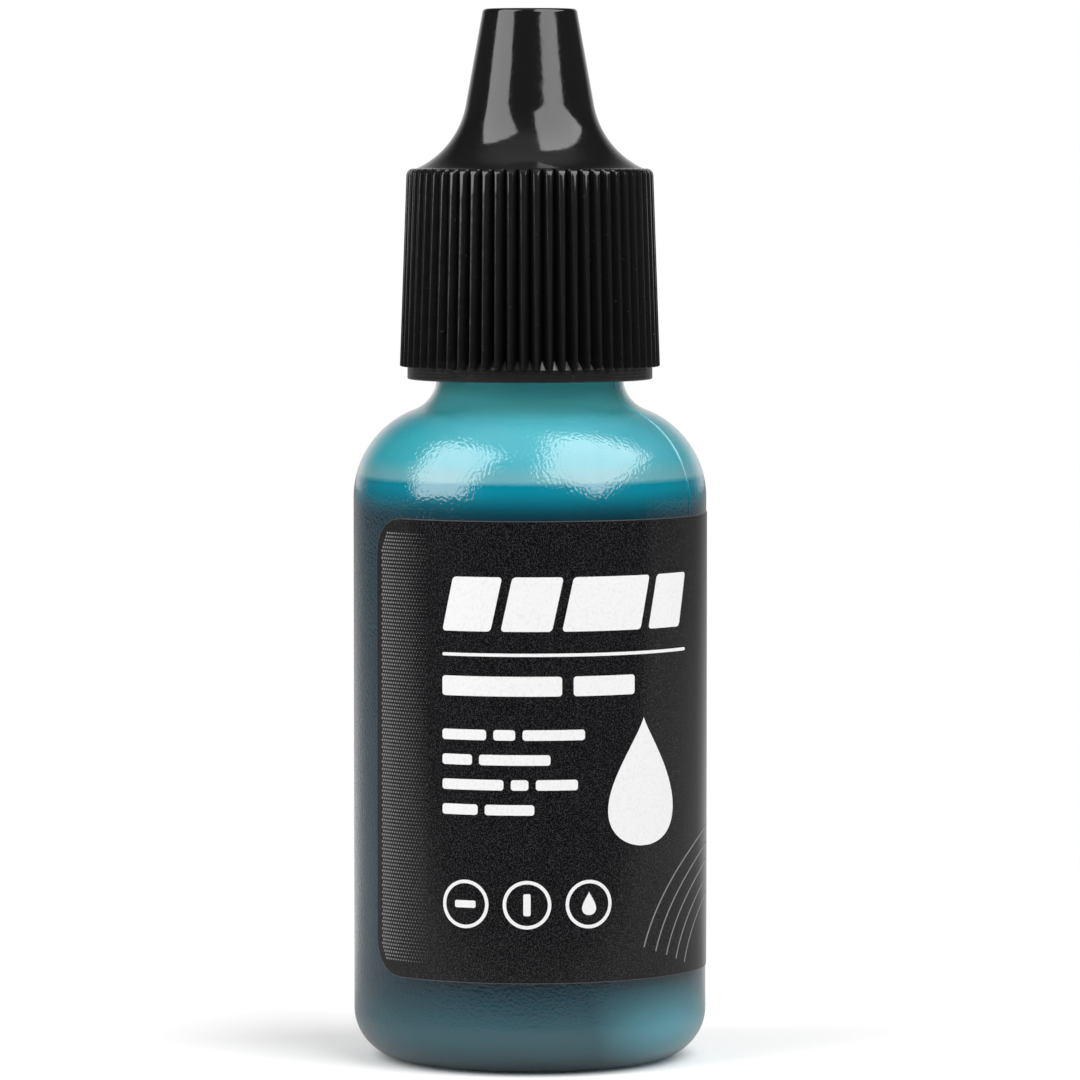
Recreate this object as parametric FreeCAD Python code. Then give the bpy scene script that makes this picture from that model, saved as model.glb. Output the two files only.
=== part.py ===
import FreeCAD, Part
import math
import os

# Small squeeze bottle with a dropper nozzle under a ribbed screw cap.
# Millimetres, +Z up, origin at the centre of the foot ring, front of the label towards -Y.

# Bottle, blow-moulded in natural soft polyethylene
body_diameter = 24.5
wall_thickness = 0.8
base_thickness = 0.9
heel_radius = 3.5
foot_ring_width = 1.5
pushup_depth = 0.9
straight_height = 39.0
shoulder_radius = 6.5
neck_fillet_radius = 2.5
neck_diameter = 12.9
neck_bore_diameter = 9.2
neck_height = 12.6
rim_round = 0.3

# Liquid inside, with its level measured from the top of the straight wall
fill_level = 1.3
fill_clearance = 0.05

# Label film, with its angles measured from the front towards the right
label_bottom_margin = 3.0
label_top_margin = 1.0
label_thickness = 0.1
label_clearance = 0.02
label_corner_radius = 2.6
label_start_angle = -58.6
label_wrap_angle = 310.0

# Dropper plug, pressed into the neck bore
flange_diameter = 12.4
flange_thickness = 0.9
plug_skirt_length = 6.0
plug_wall = 0.9
plug_clearance = 0.12
bead_count = 2
bead_height = 0.1
bead_width = 0.8
nozzle_clearance = 0.35
nozzle_wall = 0.9
orifice_diameter = 0.8
orifice_length = 1.0
drop_cup_diameter = 1.8
drop_cup_depth = 1.3

# Screw cap, seated on the plug's flange
skirt_overreach = 0.2
cap_top_rise = 0.87
cap_bore_diameter = 14.6
mouth_chamfer = 0.3
band_diameter = 17.0
band_height = 0.87
rib_count = 60
crest_bottom_diameter = 18.06
crest_top_diameter = 17.1
rib_round = 0.45
valley_bottom_diameter = 16.04
valley_top_diameter = 15.84
groove_angle = 44.0
runout_height = 0.65
spout_height = 11.04
spout_base_diameter = 15.76
spout_tip_diameter = 6.6
spout_taper_angle = 10.2
flare_radius = 6.0
tip_round = 0.3
tip_wall = 1.2
cavity_top_diameter = 4.6
cavity_mouth_diameter = 9.0
pin_diameter = 1.0
pin_length = 1.0


def ogee_height(wall_radius, throat_radius, convex, concave):
    """Height over which a convex and a concave arc, tangent to each other, lead from a wall into a throat."""
    across = throat_radius + concave - (wall_radius - convex)
    return math.sqrt((convex + concave) ** 2 - across**2)


# Places that follow from the sizes
body_radius = body_diameter / 2
neck_radius = neck_diameter / 2
bore_radius = neck_bore_diameter / 2
ring_outer_radius = body_radius - heel_radius
ring_inner_radius = ring_outer_radius - foot_ring_width
neck_root = straight_height + ogee_height(body_radius, neck_radius, shoulder_radius, neck_fillet_radius)
bottle_height = neck_root + neck_height
fill_height = straight_height + fill_level
label_bottom = heel_radius + label_bottom_margin
label_top = straight_height - label_top_margin
seat_height = bottle_height + flange_thickness
mouth_height = neck_root - skirt_overreach
rib_bottom = mouth_height + band_height
rib_top = seat_height + cap_top_rise
rib_length = rib_top - rib_bottom
tip_height = rib_top + spout_height
cavity_top = tip_height - tip_wall


def point(radius, height):
    return FreeCAD.Vector(radius, 0, height)


def arc(centre, radius, start, end):
    """Middle and end of an arc, with its angles in radians from the radial direction upwards."""
    return [
        (centre[0] + radius * math.cos(angle), centre[1] + radius * math.sin(angle))
        for angle in ((start + end) / 2, end)
    ]


def revolve(start, steps, angle=360):
    """Turn a closed half section about Z. Each step is a line's end, or an arc's middle and end."""
    edges = []
    here = point(*start)
    for step in steps + [start]:
        if isinstance(step, list):
            middle, end = (point(*place) for place in step)
            edges.append(Part.Arc(here, middle, end).toShape())
        else:
            end = point(*step)
            edges.append(Part.makeLine(here, end))
        here = end
    section = Part.Face(Part.Wire(edges))
    return section.revolve(FreeCAD.Vector(0, 0, 0), FreeCAD.Vector(0, 0, 1), angle)


def dome(radius, height, rise):
    """Shallow arc from the axis down to a ring of the given radius, as in a push-up base."""
    sphere = (radius**2 + rise**2) / (2 * rise)
    lean = math.asin(radius / sphere)
    return arc((0, height + rise - sphere), sphere, math.pi / 2, math.pi / 2 - lean)


def shoulder(wall_radius, throat_radius, convex, concave):
    """Two tangent arcs from the top of the straight wall into the neck."""
    rise = ogee_height(wall_radius, throat_radius, convex, concave)
    lower_centre = (wall_radius - convex, straight_height)
    upper_centre = (throat_radius + concave, straight_height + rise)
    turn = math.atan2(rise, upper_centre[0] - lower_centre[0])
    lower = arc(lower_centre, convex, 0, turn)
    upper = arc(upper_centre, concave, math.pi + turn, math.pi)
    return [lower, upper]


def bottle_outside():
    heel = arc((ring_outer_radius, heel_radius), heel_radius, -math.pi / 2, 0)
    steps = [dome(ring_inner_radius, 0, pushup_depth), (ring_outer_radius, 0), heel]
    steps += [(body_radius, straight_height)]
    steps += shoulder(body_radius, neck_radius, shoulder_radius, neck_fillet_radius)
    steps += [(neck_radius, bottle_height - rim_round)]
    steps += [arc((neck_radius - rim_round, bottle_height - rim_round), rim_round, 0, math.pi / 2)]
    steps += [(0, bottle_height)]
    return revolve((0, pushup_depth), steps)


def bottle_inside(clearance, top):
    """The hollow of the bottle up to a height in the neck, drawn in from the wall by a clearance."""
    radius = body_radius - wall_thickness - clearance
    floor = base_thickness + clearance
    corner = heel_radius - wall_thickness - clearance
    heel = arc((radius - corner, floor + corner), corner, -math.pi / 2, 0)
    convex = shoulder_radius - wall_thickness - clearance
    concave = neck_fillet_radius + wall_thickness + clearance
    steps = [dome(ring_inner_radius, floor, pushup_depth), (radius - corner, floor), heel]
    steps += [(radius, straight_height)]
    steps += shoulder(radius, bore_radius - clearance, convex, concave)
    steps += [(bore_radius - clearance, top), (0, top)]
    return revolve((0, floor + pushup_depth), steps)


def make_bottle():
    return bottle_outside().cut(bottle_inside(0, bottle_height))


def make_lube_fill():
    hollow = bottle_inside(fill_clearance, bottle_height)
    return hollow.common(Part.makeCylinder(body_radius, fill_height))


def at_angle(shape, angle):
    """Turn a shape made along +X to an angle measured from the front towards the right."""
    shape.rotate(FreeCAD.Vector(0, 0, 0), FreeCAD.Vector(0, 0, 1), angle - 90)
    return shape


def label_corner(height, side, upward):
    """What is trimmed off one corner: the space between the square corner and its quarter round."""
    size = label_corner_radius
    over = label_thickness
    inward = FreeCAD.Vector(body_radius, 0, 0)

    def place(along, rise):
        return FreeCAD.Vector(body_radius / 2, side * along, height + upward * rise)

    middle = size * (1 - math.sqrt(0.5))
    outline = [place(0, size), place(-over, size), place(-over, -over), place(size, -over), place(size, 0)]
    edges = [Part.makeLine(a, b) for a, b in zip(outline, outline[1:])]
    edges.append(Part.Arc(place(size, 0), place(middle, middle), place(0, size)).toShape())
    return Part.Face(Part.Wire(edges)).extrude(inward)


def make_label():
    inner = body_radius + label_clearance
    outer = inner + label_thickness
    corners = [(inner, label_bottom), (outer, label_bottom), (outer, label_top), (inner, label_top)]
    film = revolve(corners[0], corners[1:], label_wrap_angle)
    film = at_angle(film, label_start_angle)
    end_angle = label_start_angle + label_wrap_angle
    for angle, side in ((label_start_angle, 1), (end_angle, -1)):
        for height, upward in ((label_bottom, 1), (label_top, -1)):
            film = film.cut(at_angle(label_corner(height, side, upward), angle))
    return film


def make_dropper_plug():
    skirt = bore_radius - plug_clearance
    skirt_bottom = bottle_height - plug_skirt_length
    slope = (cavity_mouth_diameter - cavity_top_diameter) / 2 / (cavity_top - seat_height)
    tip = cavity_top - nozzle_clearance
    cup_floor = tip - drop_cup_depth
    bore_top = cup_floor - orifice_length

    def nozzle_radius(height):
        return cavity_top_diameter / 2 + slope * (cavity_top - height) - nozzle_clearance

    steps = [(skirt, bottle_height), (flange_diameter / 2, bottle_height)]
    steps += [(flange_diameter / 2, seat_height), (nozzle_radius(seat_height), seat_height)]
    steps += [(nozzle_radius(tip), tip), (drop_cup_diameter / 2, tip), (orifice_diameter / 2, cup_floor)]
    steps += [(orifice_diameter / 2, bore_top), (nozzle_radius(bore_top) - nozzle_wall, bore_top)]
    steps += [(nozzle_radius(seat_height) - nozzle_wall, seat_height)]
    steps += [(skirt - plug_wall, bottle_height), (skirt - plug_wall, skirt_bottom)]
    plug = revolve((skirt, skirt_bottom), steps)
    for count in range(bead_count):
        middle = skirt_bottom + (count + 1) * plug_skirt_length / (bead_count + 1)
        bulge = [(skirt + bead_height, middle), (skirt, middle + bead_width / 2)]
        bead = revolve(
            (skirt - plug_wall / 2, middle - bead_width / 2),
            [(skirt, middle - bead_width / 2), bulge, (skirt - plug_wall / 2, middle + bead_width / 2)],
        )
        plug = plug.fuse(bead)
    return plug.removeSplitter()


def spout_outline():
    """Flare and taper of the cap's top, from the ribs' top up to the rounded tip."""
    lean = math.radians(spout_taper_angle)
    along = (math.sin(lean), -math.cos(lean))
    outward = (math.cos(lean), math.sin(lean))
    line_top = (spout_tip_diameter / 2, tip_height - tip_round)
    base = (spout_base_diameter / 2, rib_top)
    # The flare's centre lies one radius from the taper line and one radius from the base edge.
    gap = [line_top[i] + flare_radius * outward[i] - base[i] for i in (0, 1)]
    reach = gap[0] * along[0] + gap[1] * along[1]
    slide = -reach - math.sqrt(reach**2 - gap[0] ** 2 - gap[1] ** 2 + flare_radius**2)
    centre = [base[i] + gap[i] + slide * along[i] for i in (0, 1)]
    base_angle = math.atan2(base[1] - centre[1], base[0] - centre[0]) % (2 * math.pi)
    flare = arc(centre, flare_radius, base_angle, math.pi + lean)
    tip_centre = (spout_tip_diameter / 2 - tip_round, tip_height - tip_round)
    return [base, flare, line_top, arc(tip_centre, tip_round, 0, math.pi / 2), (0, tip_height)]


def cap_blank():
    """The cap without its grooves: skirt, band, drafted sleeve, spout, nozzle cavity and sealing pin."""
    bore = cap_bore_diameter / 2
    crest_top = crest_top_diameter / 2
    steps = [(band_diameter / 2, mouth_height), (band_diameter / 2, rib_bottom)]
    steps += [(crest_bottom_diameter / 2, rib_bottom), (crest_top, rib_top - rib_round)]
    steps += [arc((crest_top - rib_round, rib_top - rib_round), rib_round, 0, math.pi / 2)]
    steps += spout_outline()
    steps += [(0, cavity_top - pin_length), (pin_diameter / 2, cavity_top - pin_length)]
    steps += [(pin_diameter / 2, cavity_top), (cavity_top_diameter / 2, cavity_top)]
    steps += [(cavity_mouth_diameter / 2, seat_height), (bore, seat_height)]
    steps += [(bore, mouth_height + mouth_chamfer)]
    return revolve((bore + mouth_chamfer, mouth_height), steps)


def groove():
    """One V groove: a wedge drawn along the drafted valley line, ending at the band in a sloping ramp."""
    valley_bottom = valley_bottom_diameter / 2
    valley_top = valley_top_diameter / 2
    ramp = runout_height / (band_diameter / 2 - valley_bottom)
    outside = crest_bottom_diameter - valley_bottom
    half_width = (outside - valley_bottom) * math.tan(math.radians(groove_angle / 2))
    apex = FreeCAD.Vector(valley_bottom, 0, rib_bottom + runout_height)
    drop = rib_bottom + runout_height - (outside - valley_bottom) * ramp
    corners = [
        apex,
        FreeCAD.Vector(outside, half_width, drop),
        FreeCAD.Vector(outside, -half_width, drop),
        apex,
    ]
    face = Part.Face(Part.makePolygon(corners))
    rise = rib_length - runout_height
    draw = FreeCAD.Vector(valley_top - valley_bottom, 0, rise)
    return face.extrude(draw * (1 + rib_round / rise))


def make_screw_cap():
    cutter = groove()
    grooves = []
    for count in range(rib_count):
        copy = cutter.copy()
        copy.rotate(FreeCAD.Vector(0, 0, 0), FreeCAD.Vector(0, 0, 1), 360 * count / rib_count)
        grooves.append(copy)
    return cap_blank().cut(grooves)


os.makedirs("parts", exist_ok=True)
nodes = {
    "bottle": make_bottle(),
    "dropper_plug": make_dropper_plug(),
    "screw_cap": make_screw_cap(),
    "label": make_label(),
    "lube_fill": make_lube_fill(),
}
for name, shape in nodes.items():
    shape.exportStep("parts/" + name + ".step")
    print(name, shape.ShapeType, len(shape.Solids), shape.isValid(), round(shape.Volume, 2))
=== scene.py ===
import math

import bpy
import numpy as np
from bpy.props import FloatProperty, FloatVectorProperty, IntProperty, PointerProperty
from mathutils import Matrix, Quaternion, Vector


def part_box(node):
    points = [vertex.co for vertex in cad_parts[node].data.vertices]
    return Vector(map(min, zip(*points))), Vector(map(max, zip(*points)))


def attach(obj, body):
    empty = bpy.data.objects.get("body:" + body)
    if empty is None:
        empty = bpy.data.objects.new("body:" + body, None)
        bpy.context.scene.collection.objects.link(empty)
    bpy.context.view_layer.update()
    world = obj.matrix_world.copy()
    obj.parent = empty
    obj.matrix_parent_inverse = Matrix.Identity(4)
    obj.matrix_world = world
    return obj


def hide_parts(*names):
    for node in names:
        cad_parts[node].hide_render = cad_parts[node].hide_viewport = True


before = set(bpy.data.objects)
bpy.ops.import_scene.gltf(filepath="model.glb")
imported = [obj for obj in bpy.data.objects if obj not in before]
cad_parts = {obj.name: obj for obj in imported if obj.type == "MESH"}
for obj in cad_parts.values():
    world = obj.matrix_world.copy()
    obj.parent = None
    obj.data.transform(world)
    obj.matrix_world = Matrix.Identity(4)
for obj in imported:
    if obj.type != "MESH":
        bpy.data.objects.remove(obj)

bl_info = {
    "name": "Dropper Bottle",
    "version": (1, 0, 0),
    "blender": (4, 5, 0),
    "location": "View3D > Sidebar > Bottle",
    "description": "Dresses a small squeeze bottle with its plug, ribbed screw cap, label and liquid",
    "category": "Add Mesh",
}

MM = 0.001
FULL_TURN = 2 * math.pi
SAME = 1e-7
LAMP_RADIANCE = 3.56
LAMP_AIM = Vector((0.0, 0.0, 0.04))
RIB_COLUMNS = 12
FLOOR_COLUMNS = 64
# Heights over which the neck's colours, paler as painted light against the cap's shade, blend in.
NECK_BLEND = (43.8 * MM, 45.9 * MM)
MATT = {"Specular IOR Level": 0.0}
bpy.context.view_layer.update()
BOTTLE_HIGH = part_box("bottle")[1]
PLUG_LOW, PLUG_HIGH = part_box("dropper_plug")
CAP_LOW, CAP_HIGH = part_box("screw_cap")
LABEL_LOW, LABEL_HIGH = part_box("label")
FILL_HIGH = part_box("lube_fill")[1]


def length(name, description, default):
    """A length property in metres, shown with enough digits for a small moulding."""
    return FloatProperty(name=name, description=description, default=default, unit="LENGTH", precision=5)


def turn(name, description, default):
    """An angle property, given in degrees and kept in radians."""
    return FloatProperty(name=name, description=description, default=math.radians(default), subtype="ANGLE")


def colour(name, description, default):
    """A linear colour property."""
    return FloatVectorProperty(
        name=name, description=description, default=default, subtype="COLOR", size=3, min=0.0, max=1.0
    )


class BottleSizes(bpy.types.PropertyGroup):
    """Sizes of the blow-moulded bottle."""

    body_radius: length("Body radius", "Outside of the straight wall", BOTTLE_HIGH[0])
    wall: length("Wall", "Thickness of the side wall", 0.8 * MM)
    floor: length("Base thickness", "Thickness of the base", 0.9 * MM)
    heel_radius: length("Heel radius", "Round between the base and the wall", 3.5 * MM)
    foot_width: length("Foot ring width", "Flat ring that the bottle stands on", 1.5 * MM)
    pushup: length("Push-up", "Rise of the base inside its foot ring", 0.9 * MM)
    straight: length("Straight height", "Height where the shoulder starts", 39.0 * MM)
    shoulder_radius: length("Shoulder radius", "Convex round of the shoulder", 6.5 * MM)
    fillet_radius: length("Neck fillet", "Concave round at the root of the neck", 2.5 * MM)
    neck_radius: length("Neck radius", "Neck at the root of its thread", 6.45 * MM)
    bore_radius: length("Bore radius", "Inside of the neck", 4.6 * MM)
    rim_round: length("Rim round", "Round of the neck's upper edge", 0.3 * MM)
    lip_round: length("Lip round", "Round of the bore's upper edge", 0.25 * MM)
    height: length("Height", "Upper edge of the neck", BOTTLE_HIGH[2])
    thread_pitch: length("Thread pitch", "Rise of the thread in one turn", 2.1 * MM)
    thread_depth: length("Thread depth", "Height of the thread over the neck", 0.7 * MM)
    thread_drop: length("Thread drop", "Start of the thread below the neck's upper edge", 2.2 * MM)
    seam_azimuth: turn("Seam", "Mould parting line, from the front towards the right", 63.0)
    seam_height: length("Seam height", "Height of the mould parting line", 0.08 * MM)
    seam_width: length("Seam width", "Half width of the mould parting line", 0.08 * MM)


class PlugSizes(bpy.types.PropertyGroup):
    """Sizes of the dropper plug."""

    seat: length("Seat", "Top of the flange over the plug's lower end", 6.9 * MM)
    flange: length("Flange", "Thickness of the flange on the neck's rim", 0.9 * MM)
    flange_radius: length("Flange radius", "Outside of the flange", 6.2 * MM)
    skirt_gap: length("Skirt gap", "Room between the skirt and the neck bore", 0.12 * MM)
    wall: length("Wall", "Thickness of the skirt and the nozzle", 0.9 * MM)
    bead: length("Bead", "Height of the beads round the skirt", 0.1 * MM)
    bead_reach: length("Bead reach", "Half width of a bead", 0.45 * MM)
    nozzle_low: length("Nozzle root", "Radius of the nozzle at the flange", 4.15 * MM)
    nozzle_high: length("Nozzle tip", "Radius of the nozzle at its tip", 2.02 * MM)
    cup_radius: length("Cup radius", "Mouth of the drop cup in the tip", 0.9 * MM)
    cup_depth: length("Cup depth", "Depth of the drop cup", 1.3 * MM)
    orifice: length("Orifice", "Radius of the orifice", 0.4 * MM)
    orifice_length: length("Orifice length", "Way through the orifice", 1.0 * MM)


class CapSizes(bpy.types.PropertyGroup):
    """Sizes of the screw cap."""

    mouth: length("Mouth height", "Lower edge of the cap", CAP_LOW[2])
    tip: length("Tip height", "Top of the spout", CAP_HIGH[2])
    bore_radius: length("Bore radius", "Inside of the skirt", 7.3 * MM)
    thread_depth: length("Thread depth", "Height of the thread in the bore", 0.5 * MM)
    band_radius: length("Band radius", "Plain band below the ribs", 8.5 * MM)
    band_height: length("Band height", "Height of the plain band", 0.87 * MM)
    rib_count: IntProperty(name="Ribs", description="Ribs round the skirt", default=60, min=12)
    rib_top: length("Rib top", "Height where the ribs end", 61.782 * MM)
    crest_low: length("Crest at the bottom", "Radius of the crests at their lower end", 9.03 * MM)
    crest_high: length("Crest at the top", "Radius of the crests at their upper end", 8.55 * MM)
    crest_round: length("Crest end round", "Round of the crests' upper ends", 0.45 * MM)
    valley_low: length("Valley at the bottom", "Radius of the valleys at their lower end", 8.02 * MM)
    valley_high: length("Valley at the top", "Radius of the valleys at their upper end", 7.92 * MM)
    groove_angle: turn("Groove angle", "Angle between the flanks of a groove", 44.0)
    runout: length("Run-out", "Height of the ramp at a groove's lower end", 0.65 * MM)
    spout_base: length("Spout base", "Radius of the flare where it meets the ribs", 7.88 * MM)
    spout_tip: length("Spout tip", "Radius of the spout at its tip", 3.3 * MM)
    taper: turn("Taper", "Lean of the spout's side", 10.2)
    flare: length("Flare", "Radius of the concave flare", 6.0 * MM)
    tip_round: length("Tip round", "Round of the spout's upper edge", 0.3 * MM)
    dish: length("Dish", "Depth of the dish in the tip", 0.16 * MM)


class LabelSizes(bpy.types.PropertyGroup):
    """Sizes of the label film."""

    bottom: length("Bottom", "Lower edge of the film", LABEL_LOW[2])
    top: length("Top", "Upper edge of the film", LABEL_HIGH[2])
    inner_radius: length("Inner radius", "Underside of the film", 12.256 * MM)
    outer_radius: length("Outer radius", "Face of the film", 12.305 * MM)
    corner: length("Corner radius", "Round of the film's corners", 2.6 * MM)
    start: turn("Start", "Left edge, from the front towards the right", -58.6)
    wrap: turn("Wrap", "Angle that the film goes round", 310.0)
    ink: length("Ink", "Thickness of the print", 0.011 * MM)


class FinishColours(bpy.types.PropertyGroup):
    """Colours of the finishes."""

    plastic: colour("Bottle plastic", "Natural polyethylene", (0.86, 0.95, 0.96))
    film: colour("Wetted wall", "Liquid that clings to the wall above the level", (0.17, 0.70, 0.80))
    # Painted light: the neck plastic is made paler to lift the shade that the cap casts on the neck.
    painted_light_neck_plastic: colour("Neck plastic", "The same plastic in the neck", (0.96, 1.0, 1.0))
    # Painted light: the wetted neck is made brighter to lift the cap's shade.
    neck: colour("Wetted neck", "The same liquid behind the thick milky neck", (0.25, 0.98, 1.0))
    # Painted light: the liquid's colour just under its surface, brightened where light would enter from
    # above.
    lube_painted_top_light: colour("Liquid at its surface", "Where light reaches in from above", (0.001, 0.42, 0.56))
    lube_deep: colour("Liquid", "Deep in the bottle", (0.006, 0.066, 0.105))
    # Painted light: the liquid's colour where light would shine through the heel.
    lube_painted_heel_glow: colour("Liquid in the heel", "Where light passes through the thin edge", (0.23, 0.75, 0.88))
    cap: colour("Cap plastic", "Black polypropylene", (0.0085, 0.008, 0.0085))
    # Painted light: a touch paler than the cap, lifting the ribs' overall brightness.
    cap_ribs_painted_light: colour("Cap ribs", "The same plastic on the ribs", (0.0092, 0.0087, 0.0092))
    # Painted light: paler than the cap, lifting the band where it gets too little light.
    cap_band_painted_light: colour("Cap band", "The same plastic on the band", (0.0168, 0.0163, 0.0168))
    plug: colour("Plug plastic", "Milky polyethylene", (0.50, 0.52, 0.51))
    # Painted highlight: the film's thin edge round the label is light grey, for the glint along it.
    film_edge_painted_glint: colour("Film edge", "Clear border of the label film", (0.07, 0.075, 0.08))
    label: colour("Label film", "Printed black", (0.0026, 0.0025, 0.0032))
    # Partly grain of the film, partly painted sparkle.
    speckle: colour("Label speckle", "Fine sparkle of the film", (0.038, 0.037, 0.040))
    white_ink: colour("White ink", "Light print on the label", (0.86, 0.86, 0.86))
    grey_ink: colour("Grey ink", "Fine dots and lines on the label", (0.24, 0.24, 0.245))


class BottleSettings(bpy.types.PropertyGroup):
    """Everything that a user would change."""

    bottle: PointerProperty(type=BottleSizes, name="Bottle", description="Bottle sizes")
    plug: PointerProperty(type=PlugSizes, name="Dropper plug", description="Dropper plug sizes")
    cap: PointerProperty(type=CapSizes, name="Cap", description="Cap sizes")
    label: PointerProperty(type=LabelSizes, name="Label", description="Label sizes")
    colours: PointerProperty(type=FinishColours, name="Colours", description="Finish colours")


def smooth_step(low, high, value):
    """Rises from 0 at low to 1 at high along 3t^2 - 2t^3."""
    share = np.clip((value - low) / (high - low), 0.0, 1.0)
    return share * share * (3 - 2 * share)


def line_run(start, end, steps=1):
    """Points evenly spaced on the straight line from start to end."""
    share = np.linspace(0.0, 1.0, steps + 1)[:, None]
    return np.array(start) * (1 - share) + np.array(end) * share


def arc_run(centre, radius, start, end, steps):
    """Points on a circle: the centre plus the radius times (cos, sin) of an angle from start to end."""
    angle = np.linspace(start, end, steps + 1)
    return np.stack((centre[0] + radius * np.cos(angle), centre[1] + radius * np.sin(angle)), axis=1)


def dome_run(radius, height, rise, steps):
    """Shallow arc from the axis down to a ring, on the sphere through the ring and the raised centre."""
    sphere = (radius**2 + rise**2) / (2 * rise)
    lean = math.asin(radius / sphere)
    return arc_run((0.0, height + rise - sphere), sphere, math.pi / 2, math.pi / 2 - lean, steps)


def join_runs(*runs):
    """One half section of (radius, height) rows from runs that follow each other, with no joint doubled."""
    section = np.concatenate(runs)
    apart = np.linalg.norm(np.diff(section, axis=0), axis=1) > SAME
    return section[np.concatenate(([True], apart))]


def rounded_run(corners, radii, steps=4):
    """A broken line whose corners are replaced by arcs: each arc touches both sides, and its centre lies
    on the corner's bisector, radius / sin(half angle) away."""
    corners = np.array(corners, float)
    runs = [corners[:1]]
    for before, corner, after, radius in zip(corners, corners[1:], corners[2:], radii):
        back, on = before - corner, after - corner
        back, on = back / np.linalg.norm(back), on / np.linalg.norm(on)
        half = math.acos(np.clip(back @ on, -1.0, 1.0)) / 2
        bisector = (back + on) / np.linalg.norm(back + on)
        centre = corner + bisector * radius / math.sin(half)
        start = corner + back * radius / math.tan(half) - centre
        end = corner + on * radius / math.tan(half) - centre
        first = math.atan2(start[1], start[0])
        sweep = (math.atan2(end[1], end[0]) - first + math.pi) % FULL_TURN - math.pi
        runs.append(arc_run(centre, radius, first, first + sweep, steps))
    return join_runs(*runs, corners[-1:])


def even_azimuths(columns):
    """Angles evenly spaced round one turn."""
    return np.linspace(0.0, FULL_TURN, columns, endpoint=False)


def around(radius, azimuth, height):
    """Places on a round body: (r sin a, -r cos a, h) for azimuth a from the front towards the right."""
    radius, azimuth, height = np.broadcast_arrays(radius, azimuth, height)
    return np.stack((radius * np.sin(azimuth), -radius * np.cos(azimuth), height), axis=-1)


def turned(section, azimuths):
    """Surface of revolution: every (radius, height) of the section at every azimuth."""
    return around(section[:, :1], azimuths[None, :], section[:, 1:])


def grid_quads(rows, columns, close_rows=False, close_columns=True, first=0):
    """Quads between neighbouring rows and columns of vertices that are numbered row by row."""
    index = first + np.arange(rows * columns).reshape(rows, columns)
    if close_rows:
        index = np.concatenate((index, index[:1]))
    if close_columns:
        index = np.concatenate((index, index[:, :1]), axis=1)
    corners = (index[:-1, :-1], index[:-1, 1:], index[1:, 1:], index[1:, :-1])
    return np.stack(corners, axis=-1).reshape(-1, 4)


def fan(ring, pole, pole_first):
    """Triangles between a closed ring of vertices and one pole, before or after it in the section."""
    after = np.roll(ring, -1)
    poles = np.full(len(ring), pole)
    return np.stack((poles, after, ring) if pole_first else (ring, after, poles), axis=1)


def mesh_piece(name, vertices, polygons, material, sharp=40.0):
    """An object at the origin from one vertex array and arrays of polygons of equal size, smooth except
    over edges sharper than the given angle in degrees."""
    mesh = bpy.data.meshes.new(name)
    corners = np.concatenate([part.ravel() for part in polygons]).astype(np.int32)
    sizes = np.concatenate([np.full(len(part), part.shape[1]) for part in polygons])
    starts = np.concatenate(([0], np.cumsum(sizes)[:-1])).astype(np.int32)
    mesh.vertices.add(len(vertices))
    mesh.vertices.foreach_set("co", vertices.astype(np.float32).ravel())
    mesh.loops.add(len(corners))
    mesh.loops.foreach_set("vertex_index", corners)
    mesh.polygons.add(len(sizes))
    mesh.polygons.foreach_set("loop_start", starts)
    mesh.polygons.foreach_set("use_smooth", np.ones(len(sizes), bool))
    mesh.update(calc_edges=True)
    if mesh.validate():
        raise RuntimeError("the mesh of " + name + " has faults")
    mesh.set_sharp_from_angle(angle=math.radians(sharp))
    mesh.materials.append(material)
    piece = bpy.data.objects.new(name, mesh)
    bpy.context.scene.collection.objects.link(piece)
    return piece


def lathe_piece(name, grid, material, looped=False):
    """Closed skin over a grid whose columns run round the axis. The section is either a loop, or starts
    and ends on the axis, where a row becomes one point."""
    rows, columns = grid.shape[:2]
    if looped:
        return mesh_piece(name, grid.reshape(-1, 3), [grid_quads(rows, columns, close_rows=True)], material)
    rings = grid[1:-1].reshape(-1, 3)
    vertices = np.concatenate((rings, grid[0, :1], grid[-1, :1]))
    ring = np.arange(columns)
    polygons = [
        fan(ring, len(rings), True),
        grid_quads(rows - 2, columns),
        fan(ring + (rows - 3) * columns, len(rings) + 1, False),
    ]
    return mesh_piece(name, vertices, polygons, material)


def thread_ridge(azimuth, height, top, pitch, turns, width):
    """Share of a screw thread's depth at each azimuth and height, from 0 to 1. Turn by turn the ridge's
    middle falls from the top by the pitch; across, it is a trapezoid with eased flanks, and its two ends
    fade out over a sixth of a turn."""
    passes = np.arange(math.ceil(turns)).reshape(-1, 1, 1)
    along = azimuth[None] + FULL_TURN * passes
    middle = top - pitch * along / FULL_TURN
    across = 1 - smooth_step(0.3, 1.0, np.abs(height[None] - middle) / (width / 2))
    fade = FULL_TURN / 6
    ends = smooth_step(0.0, fade, along) * smooth_step(0.0, fade, turns * FULL_TURN - along)
    return np.max(across * ends, axis=0)


def settings():
    """The add-on's settings in this scene."""
    return bpy.context.scene.dropper_bottle


def ogee(wall, throat, convex, concave, straight, steps):
    """Two tangent arcs from the top of a straight wall into a throat: the distance between their centres
    is the sum of their radii, which sets how high the second centre lies."""
    span = throat + concave - (wall - convex)
    rise = math.sqrt((convex + concave) ** 2 - span**2)
    lean = math.atan2(rise, span)
    lower = arc_run((wall - convex, straight), convex, 0.0, lean, steps)
    upper = arc_run((throat + concave, straight + rise), concave, math.pi + lean, math.pi, steps // 2)
    return lower, upper, straight + rise


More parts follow.
